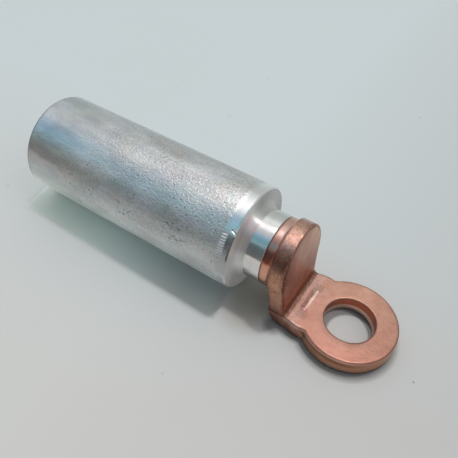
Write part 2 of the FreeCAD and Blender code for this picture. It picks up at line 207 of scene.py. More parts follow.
def lathe_shine(g, amount):
    """Shader inputs of metal turned on a lathe: light spreads across its rings."""
    tangent = g.node("ShaderNodeTangent", direction_type="RADIAL", axis="X").outputs[0]
    return {"Anisotropic": amount, "Anisotropic Rotation": 0.25, "Tangent": tangent}


def grey(level):
    return (level, level, level)


def place_of(g):
    """Place on the object: whole in metres for textures, and x, y and z in millimetres for masks."""
    whole = g.node("ShaderNodeTexCoord").outputs["Object"]
    scaled = g.node("ShaderNodeVectorMath", {0: whole, "Scale": 1 / MM}, operation="SCALE").outputs[0]
    x, y, z = g.node("ShaderNodeSeparateXYZ", {"Vector": scaled}).outputs
    return SimpleNamespace(whole=whole, x=x, y=y, z=z)


def length_of(g, a, b):
    return g.math("SQRT", g.math("ADD", g.product(a, a), g.product(b, b)))


def distance(g, at, x, y):
    """Distance from an upright line."""
    return length_of(g, g.math("SUBTRACT", at.x, x), g.math("SUBTRACT", at.y, y))


def around_axis(g, at):
    """Distance from the barrel's axis."""
    return length_of(g, at.y, g.math("SUBTRACT", at.z, AXIS_Z))


def side_angle(g, at):
    """Angle round the barrel's axis in degrees: 0 on the near side, 90 on top, 270 or -90 underneath."""
    turn = g.math("ARCTAN2", at.y, g.math("SUBTRACT", at.z, AXIS_Z))
    return g.math("MULTIPLY_ADD", turn, 180 / math.pi, 90.0)


def round_ramp(g, side, stops):
    """Colour ramp whose stops are angles round the axis, from -90 to 270."""
    return g.ramp(g.remap(side, -90.0, 270.0), [((angle + 90) / 360, colour) for angle, colour in stops])


# Aluminium

def barrel_zones(g, at):
    """Where things are on the barrel's skin, as masks from 0 to 1. Drawn is all but the turned front edge."""
    side = side_angle(g, at)
    turned = g.remap(at.x, -43.0, -40.9, smooth=True)
    drawn = g.math("SUBTRACT", 1.0, turned)
    return SimpleNamespace(
        side=side, turned=turned, drawn=drawn,
        frosted=g.product(g.remap(at.x, -116.0, -88.0, 0.3, 1.0, smooth=True), drawn),
        rear=g.remap(at.x, -85.0, -112.0),
        # The next mask is painted shade on the front chamfer.
        burr=g.product(g.remap(at.x, -38.75, -38.62), g.within(side, 17.0, 42.0, 1.5)),
        stamp=g.attribute("stamp"))


def barrel_textures(g, whole):
    """Noises of the barrel's skin, most of them drawn out along it."""
    return SimpleNamespace(
        grain=g.noise(whole, 2500, 3, 0.65),
        coarse=g.noise(g.stretch(whole, (0.75, 1, 1)), 1400, 3, 0.6),
        cloud=g.noise(g.stretch(whole, (0.4, 1, 1)), 130, 4, 0.6),
        streak=g.noise(g.stretch(whole, (0.05, 1, 1)), 700, 3, 0.6),
        waves=g.noise(g.stretch(whole, (0.5, 1, 1)), 330, 3, 0.55),
        hue=g.noise(g.stretch(whole, (0.7, 1, 1)), 140, 3, 0.5, 0.8))


def barrel_pits(g, at, zones):
    """Dark pits, in patches and mostly low on the near side."""
    flecks = g.remap(g.noise(g.stretch(at.whole, (0.8, 1, 1)), 1350, 2, 0.6), 0.56, 0.70)
    patches = g.remap(g.noise(at.whole, 75, 3, 0.6), 0.36, 0.56)
    low_side = g.within(zones.side, 12.0, 46.0, 14.0)
    return g.product(flecks, patches, zones.frosted, g.math("MULTIPLY_ADD", low_side, 0.5, 0.4))


def skin_tone(g, at, zones, texture, pits):
    """Cloudy grey with fine grain, streaks, glints and pits."""
    glints = g.product(g.remap(g.noise(at.whole, 1700, 2, 0.6), 0.58, 0.70), zones.frosted)
    tone = g.ramp(texture.cloud, [
        (0.3, (0.54, 0.55, 0.545)), (0.5, (0.68, 0.69, 0.685)), (0.72, (0.83, 0.84, 0.835))])
    tone = g.blend(g.remap(texture.grain, 0.45, 0.68, 0.0, 0.30), tone, grey(0.36))
    tone = g.blend(g.remap(texture.streak, 0.45, 0.75, 0.0, 0.3), tone, (0.80, 0.80, 0.79))
    tone = g.blend(g.product(glints, 0.75), tone, (0.98, 0.97, 0.98))
    return g.blend(pits, tone, (0.13, 0.13, 0.14))


def skin_by_side(g, zones, texture, tone):
    """The skin's tone round the axis, painted light and shade, for the turned front edge, the whole skin and
    its rear, then faint patches of hue on the drawn skin.
    """
    # Painted light and shade by the angle round the axis: on the turned front edge, on the whole skin and on
    # its rear.
    turned_tone = round_ramp(g, zones.side, [
        (-90, grey(0.70)), (-20, grey(1.0)), (0, grey(0.48)), (14, grey(0.48)), (24, grey(0.80)),
        (36, grey(0.74)), (48, grey(1.06)), (60, (0.68, 0.80, 0.86)), (72, grey(0.96)), (95, grey(1.0)),
        (112, grey(1.08)), (180, grey(0.85)), (270, grey(0.60))])
    tone = g.blend(g.product(zones.turned, 0.8), tone, turned_tone)
    whole_shade = round_ramp(g, zones.side, [
        (-90, grey(0.86)), (-29, grey(1.18)), (-8, grey(0.92)), (12, grey(0.81)), (25, grey(0.83)),
        (37, grey(0.98)), (48, grey(1.10)), (60, grey(0.90)), (72, grey(0.86)), (84, grey(0.80)),
        (96, grey(0.79)), (140, grey(0.83)), (210, grey(0.86)), (270, grey(0.86))])
    tone = g.multiply(g.multiply(tone, whole_shade), grey(1.16))
    rear_shade = round_ramp(g, zones.side, [
        (-90, grey(1.1)), (-24, (1.25, 1.21, 1.15)), (-12, (1.14, 1.14, 1.10)), (0, (0.86, 0.89, 0.86)),
        (12, grey(1.0)), (24, (1.04, 1.0, 0.96)), (36, (1.30, 1.17, 1.08)), (48, (0.95, 0.93, 0.93)),
        (60, (0.96, 1.05, 1.09)), (72, (0.89, 0.94, 0.95)), (84, (0.98, 1.01, 1.05)),
        (110, (1.01, 1.04, 1.06)), (180, grey(1.0)), (270, grey(1.1))])
    tone = g.tint(zones.rear, tone, rear_shade)
    hue = g.ramp(texture.hue, [
        (0.36, (1.03, 0.99, 0.98)), (0.46, (0.99, 1.01, 0.985)), (0.56, (0.99, 0.995, 1.03)),
        (0.66, (1.03, 0.995, 1.015))])
    return g.tint(zones.drawn, tone, hue)


def skin_marks(g, at, zones, texture, tone):
    """A light die line, painted shade on the rear edge, an uneven darker band at the front edge, painted
    shade on the front chamfer and corner, and the strokes with a painted reflection, brighter on the lower
    ones.
    """
    die_line = g.product(g.within(zones.side, 48.4, 49.4, 0.7), g.within(at.x, -112.0, -93.5, 4.0),
                         g.remap(texture.grain, 0.35, 0.55, 0.4, 1.0))
    tone = g.blend(g.product(die_line, 0.7), tone, (0.98, 1.0, 1.0))
    # Painted shade on the rear chamfer.
    rear_edge = g.product(g.remap(at.x, -125.1, -125.6), g.within(zones.side, -40.0, 75.0, 20.0))
    tone = g.blend(g.product(rear_edge, 0.65), tone, grey(0.20))
    # An uneven darker band at the front edge, between 15 and 42 degrees.
    bruise = g.product(g.remap(at.x, -40.4, -40.1), g.within(zones.side, 15.0, 42.0, 2.5),
                       g.remap(texture.grain, 0.40, 0.55, 0.2, 0.7))
    tone = g.blend(bruise, tone, (0.34, 0.34, 0.35))
    # Painted shade on the front chamfer, between 17 and 42 degrees.
    tone = g.blend(g.product(zones.burr, 0.9), tone, (0.12, 0.12, 0.11))
    # The strokes' tone is a painted reflection: warm and bright on the lower strokes, grey on the upper ones.
    stroke_tone = g.blend(g.remap(zones.side, 24.0, 38.0), (0.97, 0.86, 0.79), (0.50, 0.49, 0.48))
    tone = g.blend(g.product(zones.stamp, 0.8), tone, stroke_tone)
    # Painted shade on the front corner, between 47 and 72 degrees.
    corner = g.product(g.remap(at.x, -38.90, -38.72), g.within(zones.side, 47.0, 72.0, 7.0))
    return g.tint(corner, tone, (0.60, 0.76, 0.72))


def skin_height(g, zones, texture, pits):
    """Relief of the skin: frosted grain, streaks and low waves, less the pits."""
    height = g.product(g.add(texture.grain, texture.coarse, 1.5), zones.frosted)
    height = g.add(height, texture.streak, 0.3)
    height = g.add(height, g.product(texture.waves, zones.drawn), 1.4)
    return g.math("SUBTRACT", height, pits)


def barrel_material():
    """Extruded aluminium: cloudy and finely pitted, smoother near both ends."""
    material, g = new_material("aluminium_barrel_skin")
    at = place_of(g)
    zones = barrel_zones(g, at)
    texture = barrel_textures(g, at.whole)
    pits = barrel_pits(g, at, zones)
    tone = skin_tone(g, at, zones, texture, pits)
    tone = skin_by_side(g, zones, texture, tone)
    tone = skin_marks(g, at, zones, texture, tone)
    rough = g.remap(texture.cloud, 0.3, 0.7, 0.38, 0.50)
    rough = g.add(rough, g.math("MAXIMUM", zones.turned, zones.stamp), -0.13)
    # Rougher on the front chamfer, where its shade is painted.
    rough = g.add(rough, zones.burr, 0.25)
    rough = g.add(rough, g.remap(at.x, -100.0, -118.0), -0.10)
    close_material(g, {
        "Base Color": tone, "Metallic": 1.0, "Roughness": rough,
        "Normal": g.bump(skin_height(g, zones, texture, pits), 0.09 * MM),
    })
    return material


def turned_material():
    """Neck, turned on a lathe: fine rings about the axis."""
    material, g = new_material("aluminium_turned")
    at = place_of(g)
    rings = g.noise(g.stretch(at.whole, (1, 0.004, 0.004)), 4200, 2, 0.6)
    broad = g.noise(g.stretch(at.whole, (1, 0.02, 0.02)), 900, 2, 0.5)
    cloud = g.noise(at.whole, 160, 3, 0.5)
    tone = g.ramp(cloud, [(0.3, (0.86, 0.85, 0.83)), (0.7, (0.94, 0.93, 0.915))])
    tone = g.blend(g.remap(rings, 0.5, 0.7, 0.0, 0.25), tone, (0.60, 0.59, 0.58))
    # Painted light and shade by the angle round the axis.
    by_side = round_ramp(g, side_angle(g, at), [
        (0, grey(1.0)), (15, (0.94, 0.91, 0.88)), (28, grey(1.0)), (42, grey(0.97)), (51, (0.83, 0.85, 0.82)),
        (60, grey(1.03)), (69, (0.92, 0.93, 0.95)), (78, grey(0.86)), (88, grey(1.10)), (103, grey(1.0)),
        (114, grey(0.83)), (126, grey(0.78)), (180, grey(0.85)), (270, grey(1.0))])
    close_material(g, {
        "Base Color": g.multiply(tone, by_side), "Metallic": 1.0,
        "Roughness": g.remap(broad, 0.3, 0.7, 0.14, 0.20),
        "Normal": g.bump(g.math("ADD", rings, broad), 0.02 * MM, 0.5), **lathe_shine(g, 0.75),
    })
    return material


def faced_material():
    """Front face, neck's root, rear face and bore: duller than the neck, brighter across the rings."""
    material, g = new_material("aluminium_faced")
    at = place_of(g)
    side = side_angle(g, at)
    radius = around_axis(g, at)
    by_radius = g.node("ShaderNodeCombineXYZ", {"X": radius}).outputs[0]
    # The radius is in millimetres, so the scales of these two noises are too
    rings = g.noise(by_radius, 4.2, 2, 0.6)
    broad = g.noise(by_radius, 0.9, 2, 0.5)
    cloud = g.noise(at.whole, 220, 3, 0.5)
    tone = g.ramp(cloud, [(0.3, (0.66, 0.65, 0.635)), (0.7, (0.74, 0.73, 0.715))])
    tone = g.blend(g.remap(rings, 0.5, 0.75, 0.0, 0.25), tone, (0.45, 0.44, 0.43))
    # Painted light and shade by the angle round the axis.
    by_side = round_ramp(g, side, [
        (-90, grey(1.2)), (-20, grey(1.4)), (0, grey(1.32)), (20, grey(1.05)), (40, (0.84, 0.76, 0.74)),
        (62, (1.02, 0.87, 0.90)), (80, grey(1.0)), (95, grey(0.70)), (180, grey(0.9)), (270, grey(1.2))])
    tone = g.multiply(tone, by_side)
    # Painted shade near the root, on the near side.
    near_root = g.product(g.remap(radius, 15.6, 13.6), g.within(side, 28.0, 48.0, 12.0))
    tone = g.blend(g.product(near_root, 0.55), tone, (0.34, 0.30, 0.29))
    close_material(g, {
        "Base Color": tone, "Metallic": 0.5, "Roughness": g.remap(broad, 0.3, 0.7, 0.37, 0.43),
        "Normal": g.bump(rings, 0.02 * MM, 0.5), **lathe_shine(g, 1.0),
    })
    return material


# Copper

def copper_zones(g, at):
    """Where things are on the copper piece, as masks from 0 to 1."""
    x, y, z = at.x, at.y, at.z
    radius = around_axis(g, at)
    from_stud = distance(g, at, 0.0, 0.0)
    lean = math.radians(HEAD_LEAN)
    ahead = g.math("ADD", g.product(g.math("SUBTRACT", x, HEAD_FRONT), math.cos(lean)),
                   g.product(g.math("SUBTRACT", z, PALM_TOP), math.sin(lean)))
    behind = g.remap(ahead, -0.2, -0.6)
    below_top = g.remap(z, 5.7, 5.1)
    eye_side = g.product(g.remap(from_stud, 15.5, 15.9), g.remap(x, -12.5, -11.0))
    fraying = g.remap(g.noise(at.whole, 700, 2, 0.6), 0.35, 0.55, 0.35, 0.85)
    return SimpleNamespace(
        from_stud=from_stud,
        front=g.product(g.remap(ahead, -0.6, -0.2), g.remap(ahead, 1.0, 0.4), g.remap(z, 5.6, 6.4)),
        rim=g.product(g.remap(radius, 12.4, 13.0), g.remap(z, 9.0, 14.0), behind),
        head=g.product(g.remap(z, 10.0, 15.0), behind),
        hole=g.product(g.remap(from_stud, 9.0, 8.6), below_top),
        strip=g.product(g.remap(x, -13.8, -14.6), g.remap(z, 5.6, 5.9), g.remap(x, -19.0, -18.0)),
        top=g.remap(z, 5.5, 5.8),
        speckled=g.product(g.remap(z, 5.6, 5.9), g.remap(x, -11.0, -14.0, 0.2, 0.55)),
        eye_edge=g.product(eye_side, g.remap(z, 4.9, 5.3)),
        eye_wall=g.product(eye_side, below_top),
        frayed=g.product(g.remap(y, -11.4, -11.9), g.within(x, -18.3, -12.5, 0.6), g.within(z, 4.6, 6.2, 0.4),
                         fraying))


def copper_base(g, at, cloud):
    """Salmon copper with clouds and browner blotches, redder towards the near side."""
    blotch = g.noise(at.whole, 85, 3, 0.5)
    tone = g.ramp(cloud, [
        (0.25, (0.44, 0.230, 0.162)), (0.5, (0.50, 0.280, 0.207)), (0.75, (0.56, 0.335, 0.255))])
    tone = g.blend(g.remap(blotch, 0.35, 0.75, 0.0, 0.35), tone, (0.42, 0.205, 0.140))
    cast = g.blend(g.remap(at.y, -16.0, 14.0), (0.99, 0.86, 0.91), (1.02, 1.03, 1.05))
    return g.multiply(tone, cast)


def head_rim(g, at, zones, tone):
    """Rounded rim of the head, with painted light and shade by height and by angle round the axis: bright low
    down, brown half way up.
    """
    by_height = g.ramp(g.remap(at.z, 10.0, 34.0), [
        (0.15, (1.0, 0.50, 0.34)), (0.28, (1.0, 0.50, 0.32)), (0.38, (0.76, 0.38, 0.24)),
        (0.55, (0.52, 0.255, 0.155)), (0.75, (0.52, 0.265, 0.175)), (0.95, (0.76, 0.45, 0.355))])
    by_side = round_ramp(g, side_angle(g, at), [
        (68, grey(0.96)), (78, grey(0.82)), (88, grey(1.22)), (100, (1.12, 1.07, 1.03)),
        (112, (0.74, 0.73, 0.71)), (126, grey(1.0))])
    return g.blend(g.product(zones.rim, 0.9), tone, g.multiply(by_height, by_side))


def head_front(g, at, zones, tone):
    """Front face of the head: painted shade on its near side, and a painted reflection of the palm, redder
    towards the bend.
    """
    by_height = g.blend(g.remap(at.z, 12.0, 28.0), (0.35, 0.140, 0.080), (0.88, 0.57, 0.44))
    by_side = g.ramp(g.remap(at.y, -13.0, 10.0), [
        (0.0, (0.12, 0.07, 0.055)), (0.13, (0.17, 0.11, 0.09)), (0.22, (0.34, 0.25, 0.24)),
        (0.4, (0.58, 0.48, 0.46)), (0.7, (0.74, 0.64, 0.61)), (0.85, (0.84, 0.77, 0.75)), (1.0, grey(1.0))])
    low_near = g.product(g.remap(at.z, 22.0, 14.0), g.remap(at.y, -6.0, -11.0))
    by_side = g.blend(low_near, by_side, (0.85, 0.76, 0.76))
    by_side = g.blend(g.remap(at.z, 12.5, 7.5), by_side, (1.6, 1.35, 1.25))
    return g.blend(g.product(zones.front, 0.97), tone, g.multiply(by_height, by_side))


def stud_hole(g, at, zones, tone):
    """Wall of the stud hole: painted dark red shade, paler low down."""
    tone = g.blend(g.product(zones.hole, 0.9), tone, (0.46, 0.110, 0.050))
    low_band = g.product(zones.hole, g.within(at.z, 0.2, 2.4, 0.6))
    return g.blend(g.product(low_band, 0.8), tone, (1.0, 0.68, 0.56))


def strip_and_bend(g, at, zones, tone):
    """Pale strip between the eye and the head, and painted shade inside the bend."""
    tone = g.blend(g.product(zones.strip, 0.75), tone, (0.51, 0.325, 0.275))
    bend_tone = g.blend(g.remap(at.z, 7.1, 6.3), (0.36, 0.140, 0.090), (0.11, 0.039, 0.024))
    in_bend = g.product(g.remap(at.x, -17.0, -17.6), g.remap(at.z, 5.6, 5.8), g.remap(at.z, 9.0, 7.4))
    return g.blend(g.product(in_bend, 0.9), tone, bend_tone)


def eye_top(g, at, zones, tone):
    """Top of the eye, darker towards its tip and on the near side of the hole."""
    toward_tip = g.product(g.remap(at.x, 3.0, 15.0), zones.top)
    tone = g.tint(toward_tip, tone, (0.71, 0.70, 0.69))
    by_hole = g.product(g.within(zones.from_stud, 8.5, 9.8, 1.6), g.remap(at.y, -2.0, -6.0), zones.top)
    return g.tint(by_hole, tone, (0.77, 0.80, 0.80))


def eye_wall(g, at, zones, tone):
    """Outer wall of the eye: painted shade as a dark line, and on the near side painted light as paler bands
    below and above it.
    """
    tone = g.blend(g.product(zones.eye_wall, 0.75), tone, (0.62, 0.300, 0.165))
    near_side = g.remap(g.math("MULTIPLY_ADD", at.x, 0.6, at.y), -4.0, -12.0)
    low_band = g.product(zones.eye_wall, g.remap(at.z, 3.4, 0.8), near_side)
    tone = g.blend(g.product(low_band, 0.6), tone, (0.90, 0.54, 0.40))
    high_band = g.product(zones.eye_edge, g.remap(at.z, 5.9, 5.6), near_side)
    tone = g.blend(g.product(high_band, 0.4), tone, (0.92, 0.60, 0.50))
    line = g.product(zones.eye_wall, g.within(at.z, 3.6, 4.7, 0.5), g.remap(near_side, 0.0, 1.0, 0.15, 0.55))
    return g.blend(line, tone, (0.14, 0.050, 0.032))


def head_scratches(g, at, zones, tone):
    """Slanting scratches and stains round the head, and its brushed front face."""
    turn = (math.radians(38), 0, 0)
    aslant = g.node("ShaderNodeMapping", {"Vector": at.whole, "Rotation": turn}).outputs[0]
    scratches = g.noise(g.stretch(aslant, (1, 1, 0.07)), 1300, 3, 0.6)
    stain = g.remap(g.noise(at.whole, 150, 4, 0.6, 0.6), 0.54, 0.64)
    tone = g.blend(g.product(zones.head, g.remap(scratches, 0.50, 0.66), 0.5), tone, (0.25, 0.105, 0.062))
    tone = g.blend(g.product(zones.head, stain, 0.3), tone, (0.26, 0.105, 0.060))
    brushed = g.product(zones.front, g.remap(at.z, 10.0, 22.0), g.remap(at.y, -11.0, -5.0, 0.3, 1.0))
    tone = g.blend(g.product(brushed, g.remap(scratches, 0.53, 0.64, 0.0, 0.35)), tone, (0.94, 0.67, 0.52))
    return g.blend(g.product(brushed, g.remap(scratches, 0.46, 0.36, 0.0, 0.4)), tone, (0.36, 0.18, 0.115))


def heel_and_edge(g, at, zones, tone):
    """Brown heel beside the bend, and the frayed pale edge next to it."""
    heel = g.product(g.remap(at.y, -11.8, -12.6), g.remap(at.x, -17.2, -18.2), g.remap(at.z, 9.5, 6.5))
    tone = g.blend(g.product(heel, 0.6), tone, (0.27, 0.115, 0.075))
    return g.blend(zones.frayed, tone, (0.62, 0.39, 0.33))


def brown_band(g, at, tone, low, high, amount):
    """Painted brown reflection on the copper between two angles round the barrel's axis."""
    band = g.product(g.within(side_angle(g, at), low, high, 9.0), amount)
    return g.tint(band, tone, (0.84, 0.52, 0.46))


def rim_band(g, at, zones, tone):
    """Painted brown reflection band on the head's rim."""
    return brown_band(g, at, tone, 38.0, 52.0, zones.rim)


def lip_tones(g, at, zones, tone):
    """Raised lip across the strip: painted highlight on its front slope, painted shade on its back, broken by
    scratches, and at its near end, darker beside its ends.
    """
    on_lip = g.product(g.within(at.y, -4.8, 4.2, 0.4), g.remap(at.z, 5.92, 5.98))
    rise = g.product(on_lip, g.within(at.x, -15.8, -14.6, 0.2))
    tone = g.blend(g.product(rise, 0.6), tone, (0.66, 0.43, 0.37))
    # Painted highlight on the front slope, fading towards the near end.
    slope = g.product(on_lip, g.within(at.x, -14.25, -13.65, 0.15))
    uneven = g.remap(g.noise(at.whole, 900, 2, 0.5), 0.35, 0.60, 0.5, 0.95)
    shine = g.product(slope, uneven, g.remap(at.y, -4.5, 1.5, 0.3, 1.0))
    tone = g.blend(shine, tone, (0.86, 0.66, 0.60))
    # Painted shade on the back slope, broken by scratches.
    scratches = g.remap(g.noise(g.stretch(at.whole, (1, 0.3, 1)), 1300, 2, 0.5), 0.45, 0.55)
    scuff = g.product(on_lip, g.within(at.x, -15.7, -14.6, 0.3), scratches)
    tone = g.blend(g.product(scuff, 0.6), tone, (0.26, 0.13, 0.12))
    # Painted shade at the near end.
    near_end = g.product(g.within(at.y, -5.6, -4.3, 0.4), g.within(at.x, -15.6, -13.4, 0.3), zones.top)
    tone = g.blend(g.product(near_end, 0.8), tone, (0.26, 0.13, 0.12))
    off_middle = g.math("ABSOLUTE", g.math("ADD", at.y, 0.8))
    beside_ends = g.product(g.within(off_middle, 5.3, 7.6, 1.0), g.within(at.x, -15.2, -13.0, 0.9), zones.top)
    return g.tint(beside_ends, tone, (0.76, 0.77, 0.79))


def top_speckle(g, at, zones, tone):
    """Fine light and dark speckle on the palm's top, stronger near the bend."""
    speckle = g.noise(at.whole, 2200, 2, 0.7)
    tone = g.blend(g.product(g.remap(speckle, 0.54, 0.66), zones.speckled), tone, (0.72, 0.51, 0.45))
    return g.blend(g.product(g.remap(speckle, 0.45, 0.34), zones.speckled), tone, (0.36, 0.18, 0.13))


def worn_edges(g, at, zones):
    """Mask of the dark edges, partly wear and partly painted shade. They are patchy, and faint on the collar
    and along the palm's top.
    """
    patchy = g.remap(g.noise(at.whole, 420, 3, 0.6), 0.38, 0.58, 0.4, 1.0)
    off_collar = g.remap(at.x, -26.2, -25.2, 0.3, 1.0)
    by_height = g.math("MAXIMUM", g.remap(at.z, 5.0, 4.4), g.remap(at.z, 7.5, 11.0, 0.28, 0.75))
    kept_clear = g.math("MAXIMUM", zones.frayed, g.product(zones.eye_edge, 0.5))
    return g.product(g.remap(g.attribute("edge"), 0.05, 0.40), patchy, off_collar, by_height,
                     g.math("SUBTRACT", 1.0, kept_clear))


def copper_material():
    """Forged and pickled copper: matt salmon on the palm, brown along its edges."""
    material, g = new_material("copper_forged")
    at = place_of(g)
    zones = copper_zones(g, at)
    cloud = g.noise(at.whole, 230, 4, 0.55)
    tone = copper_base(g, at, cloud)
    for paint in (head_rim, head_front, stud_hole, strip_and_bend, eye_top, eye_wall, head_scratches,
                  heel_and_edge, rim_band, lip_tones, top_speckle):
        tone = paint(g, at, zones, tone)
    # Dark edges, partly wear and partly painted shade.
    worn = worn_edges(g, at, zones)
    tone = g.blend(g.product(worn, 0.75), tone, (0.13, 0.047, 0.032))
    palm_top = g.product(g.remap(at.z, 5.2, 5.8), g.remap(at.x, -19.0, -17.8))
    rough = g.remap(cloud, 0.3, 0.7, 0.28, 0.38)
    for mask, amount in ((palm_top, 0.10), (zones.rim, -0.06), (zones.front, 0.10), (worn, 0.22)):
        rough = g.add(rough, mask, amount)
    close_material(g, {
        "Base Color": tone, "Metallic": 1.0, "Roughness": rough,
        "Normal": g.bump(g.noise(at.whole, 2600, 3, 0.6), 0.06 * MM, 0.9),
    })
    return material


def turned_copper_material():
    """Collar beside the weld: copper bright from the lathe."""
    material, g = new_material("copper_turned")
    at = place_of(g)
    rings = g.noise(g.stretch(at.whole, (1, 0.004, 0.004)), 4200, 2, 0.6)
    cloud = g.noise(at.whole, 260, 3, 0.55)
    stain = g.remap(g.noise(at.whole, 170, 4, 0.6, 0.6), 0.54, 0.66)
    low_tone = g.ramp(cloud, [(0.3, (0.76, 0.385, 0.255)), (0.7, (0.86, 0.48, 0.345))])
    # Painted light: redder low down, paler high up.
    tone = g.blend(g.remap(at.z, 20.0, 30.0, smooth=True), low_tone, (0.80, 0.53, 0.445))
    tone = g.blend(g.remap(rings, 0.5, 0.7, 0.0, 0.35), tone, (0.52, 0.24, 0.165))
    tone = g.blend(g.remap(g.attribute("edge"), 0.15, 0.7, 0.0, 0.5), tone, (0.26, 0.11, 0.075))
    tone = g.blend(g.product(stain, 0.45), tone, (0.20, 0.09, 0.06))
    # Painted brown reflection between 27 and 44 degrees.
    tone = brown_band(g, at, tone, 27.0, 44.0, 1.0)
    # Painted light and shade by the angle round the axis.
    by_side = round_ramp(g, side_angle(g, at), [
        (0, grey(1.0)), (15, (0.97, 0.84, 0.78)), (30, (1.0, 0.88, 0.80)), (42, (0.86, 0.76, 0.80)),
        (51, (1.0, 0.86, 0.86)), (60, (0.87, 0.63, 0.59)), (69, (0.80, 0.80, 0.82)), (78, (0.88, 0.91, 0.98)),
        (86, (1.02, 0.99, 1.02)), (100, (1.07, 1.0, 0.95)), (116, (0.84, 0.77, 0.75)), (180, grey(0.85)),
        (270, grey(1.0))])
    close_material(g, {
        "Base Color": g.multiply(tone, by_side), "Metallic": 1.0,
        "Roughness": g.remap(cloud, 0.3, 0.7, 0.20, 0.28),
        "Normal": g.bump(rings, 0.02 * MM, 0.6), **lathe_shine(g, 0.6),
    })
    return material


# Barrel's shape

# Numbers of its materials
SKIN, TURNED, FACED = range(3)


def softened(corners, radius, steps=4):
    """Outline in which every corner between its ends is a small round."""
    points = [corners[0]]
    for before, corner, after in zip(corners, corners[1:], corners[2:]):
        a, b, c = (np.array(p, float) for p in (before, corner, after))
        into = (a - b) / np.linalg.norm(a - b)
        out = (c - b) / np.linalg.norm(c - b)
        angle = math.acos(float(np.clip(into @ out, -1, 1)))
        reach = min(radius / math.tan(angle / 2), 0.4 * np.linalg.norm(a - b), 0.4 * np.linalg.norm(c - b))
        first = b + into * reach
        last = b + out * reach
        for step in range(steps + 1):
            t = step / steps
            points.append(tuple(first * (1 - t) ** 2 + 2 * b * t * (1 - t) + last * t * t))
    points.append(corners[-1])
    return points


def filled(points, step):
    """Outline with its long runs divided, step millimetres at most."""
    out = [points[0]]
    for a, b in zip(points, points[1:]):
        parts = max(1, math.ceil(math.dist(a, b) / step))
        for i in range(1, parts + 1):
            out.append((a[0] + (b[0] - a[0]) * i / parts, a[1] + (b[1] - a[1]) * i / parts))
    return out


def barrel_runs():
    """Half outline from the weld round to the drill's tip, in runs, each with its material off the skin."""
    side_start, side_end = -47.0, -124.0
    root_x, root_r = BARREL_FRONT + ROOT_ROUND, NECK_RADIUS + ROOT_ROUND
    neck = softened([(WELD, 0), (WELD, NECK_RADIUS), (root_x + 0.5, NECK_RADIUS)], 0.12)
    root = [(root_x + ROOT_ROUND * math.cos(a), root_r + ROOT_ROUND * math.sin(a))
            for a in np.linspace(-math.pi / 2, -math.pi, 13)]
    face = softened([
        (BARREL_FRONT, root_r), (BARREL_FRONT, BARREL_RADIUS - FRONT_CHAMFER),
        (BARREL_FRONT - FRONT_CHAMFER, BARREL_RADIUS), (side_start, BARREL_RADIUS)], 0.16)
    side = [(x, BARREL_RADIUS) for x in np.linspace(side_start, side_end, 52)]
    mouth = softened([
        (side_end, BARREL_RADIUS), (BARREL_REAR + MOUTH_CHAMFER, BARREL_RADIUS),
        (BARREL_REAR, BARREL_RADIUS - MOUTH_CHAMFER), (BARREL_REAR, BORE_RADIUS + BORE_CHAMFER),
        (BARREL_REAR + BORE_CHAMFER, BORE_RADIUS), (-110.0, BORE_RADIUS), (BORE_END, BORE_RADIUS),
        (DRILL_TIP, 0)], 0.15)
    return [
        (filled(neck, 2.5), TURNED),
        (filled([neck[-1]] + root + face[1:], 0.12)[1:], FACED),
        (side[1:], SKIN),
        (filled(mouth[1:], 6), FACED),
    ]


def on_skin(x, r):
    """Whether a place of the outline is on the skin or one of its outer chamfers."""
    behind_front = x < BARREL_FRONT and r > BARREL_RADIUS - FRONT_CHAMFER + 0.03
    at_mouth = x < BARREL_REAR + MOUTH_CHAMFER + 0.01 and r > BARREL_RADIUS - MOUTH_CHAMFER
    return behind_front or at_mouth


def barrel_profile():
    """The whole half outline, and the material of each piece of it."""
    profile, slots = [], []
    for points, slot in barrel_runs():
        for point in points:
            if profile:
                middle_x = (profile[-1][0] + point[0]) / 2
                middle_r = (profile[-1][1] + point[1]) / 2
                slots.append(SKIN if on_skin(middle_x, middle_r) else slot)
            profile.append(point)
    return profile, slots


def groove(x, phi, start, length, centre, lean, half_width, depth):
    """Depth of one V groove along the barrel, in millimetres; its centre and half width are angles."""
    along = (x - start) / length
    if not 0 < along < 1:
        return 0.0
    off = abs(phi - centre - lean * along) / half_width
    return depth * min(1.0, along / 0.2, (1 - along) / 0.2) * max(0.0, 1 - off)


def stamped(x, angle):
    """Depth of the strokes and the nick, in millimetres."""
    phi = math.degrees(angle)
    number = min(max(round((phi - FIRST_STROKE) / STROKE_PITCH), 0), STROKE_COUNT - 1)
    centre = FIRST_STROKE + STROKE_PITCH * number
    stroke = groove(x, phi, STROKE_START, STROKE_LENGTH, centre, *STROKE_SHAPE)
    nick = groove(x, phi, NICK_START, NICK_LENGTH, NICK_ANGLE, *NICK_SHAPE)
    return max(stroke, nick)


def skin_depth(x, angle):
    """How far the skin lies below its full radius, in millimetres: shallow waves and the strokes."""
    around = Vector((x * 0.045, math.cos(angle) * 1.9, math.sin(angle) * 1.9))
    depth = 0.022 * (0.5 + noise.fractal(around * 1.5, 0.8, 2.1, 3))
    depth += 0.010 * (0.5 + 0.5 * noise.noise(Vector((x * 0.5, math.cos(angle) * 8, math.sin(angle) * 8))))
    return max(depth, 0.0) + stamped(x, angle)


def lathe_row(mesh, x, r, angles):
    """Corners round the axis at one place of the outline, or one corner on the axis itself."""
    if r < 1e-6:
        return [mesh.verts.new((x * MM, 0, AXIS_Z * MM))]
    has_waves = r > BARREL_RADIUS - 0.2 and x > BARREL_REAR + 0.9
    row = []
    for angle in angles:
        reach = r - skin_depth(x, angle) if has_waves else r
        y = -reach * math.cos(angle)
        z = AXIS_Z + reach * math.sin(angle)
        row.append(mesh.verts.new((x * MM, y * MM, z * MM)))
    return row


